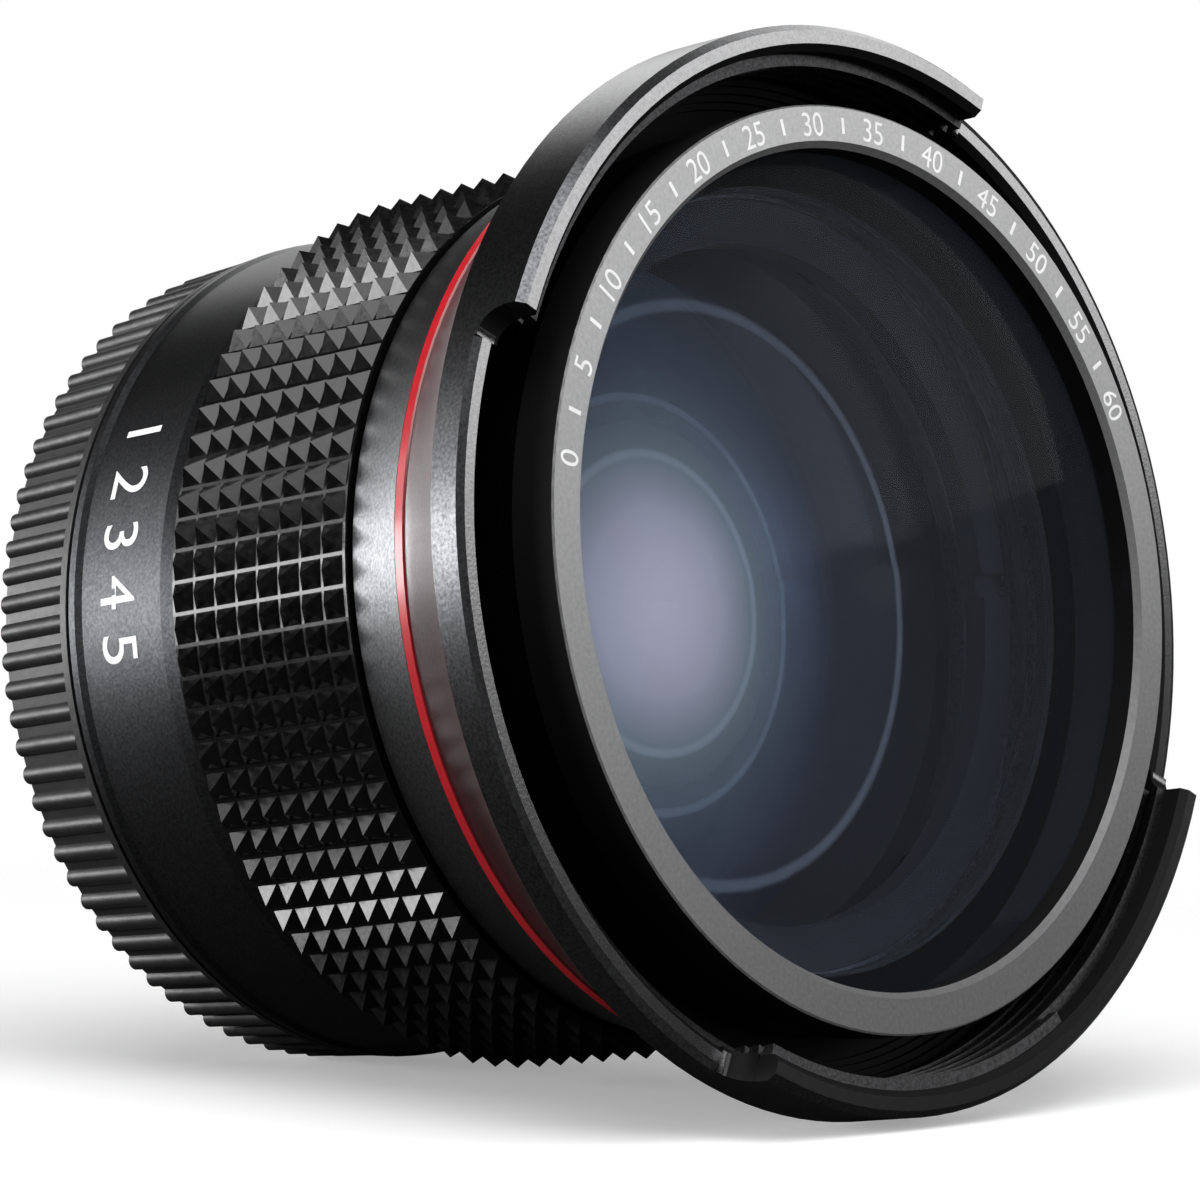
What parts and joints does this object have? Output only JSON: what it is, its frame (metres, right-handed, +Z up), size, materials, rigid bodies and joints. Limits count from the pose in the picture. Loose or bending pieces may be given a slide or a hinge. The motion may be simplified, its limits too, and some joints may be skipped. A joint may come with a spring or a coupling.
{
  "type": "fisheye lens",
  "caption": "Screw-in fisheye converter lens with petal hood, red ring, pyramid rubber grip, detachable macro unit and screw-on rear cap.",
  "frame": {"origin": "middle of the flat rear face of the cap, on the optical axis", "axes": "the front glass faces -Y and the cap +Y along the optical axis; +X is right seen from the front, +Z up, with the lens lying on its side"},
  "size_m": [0.0864, 0.066, 0.0864],
  "materials": {
    "barrel_black": "bead-blasted and anodised, satin",
    "red_anodised": "red anodised, glossy",
    "grip_rubber": "moulded, semi-gloss",
    "steel": "plain",
    "ring_grey": "satin, anodised dark grey",
    "front_glass": "coated, polished",
    "inner_glass": "coated, polished",
    "inner_black": "anodised matt black",
    "seal_rubber": "matt",
    "washer_plastic": "plain",
    "macro_black": "anodised, satin",
    "cap_plastic": "moulded, ribbed"
  },
  "bodies": {
    "front_barrel": {"front_barrel": "barrel_black", "red_ring": "red_anodised", "main_barrel": "barrel_black", "rubber_grip": "grip_rubber", "set_screws": "steel", "name_ring": "ring_grey", "front_element": "front_glass", "front_seal": "seal_rubber", "cell_retaining_ring": "inner_black", "second_element": "inner_glass", "baffle_tube": "inner_black", "crown_element": "inner_glass", "flint_element": "inner_glass"},
    "macro_washer": {"macro_washer": "washer_plastic"},
    "macro_barrel": {"macro_barrel": "macro_black", "macro_front_element": "inner_glass", "macro_front_ring": "inner_black", "macro_rear_ring": "inner_black"},
    "macro_glass": {"macro_rear_element": "inner_glass"},
    "rear_cap": {"rear_cap": "cap_plastic"}
  },
  "joints": [
    {"name": "macro_unscrew", "type": "hinge", "parent": "front_barrel", "child": "macro_washer", "pos_m": [0, -0.02238, 0], "axis": [0, 1, 0], "range_deg": [0, 1536]},
    {"name": "macro_travel", "type": "slide", "parent": "macro_washer", "child": "macro_barrel", "axis": [0, 1, 0], "range_m": [0, 0.0032]},
    {"name": "cap_unscrew", "type": "hinge", "parent": "macro_barrel", "child": "macro_glass", "pos_m": [0, -0.006, 0], "axis": [0, 1, 0], "range_deg": [0, 1632]},
    {"name": "cap_travel", "type": "slide", "parent": "macro_glass", "child": "rear_cap", "axis": [0, 1, 0], "range_m": [0, 0.0034]}
  ],
  "couplings": [
    {"joint": "macro_travel", "follows": "macro_unscrew", "m_per_rad": 0.00011937},
    {"joint": "cap_travel", "follows": "cap_unscrew", "m_per_rad": 0.00011937}
  ]
}
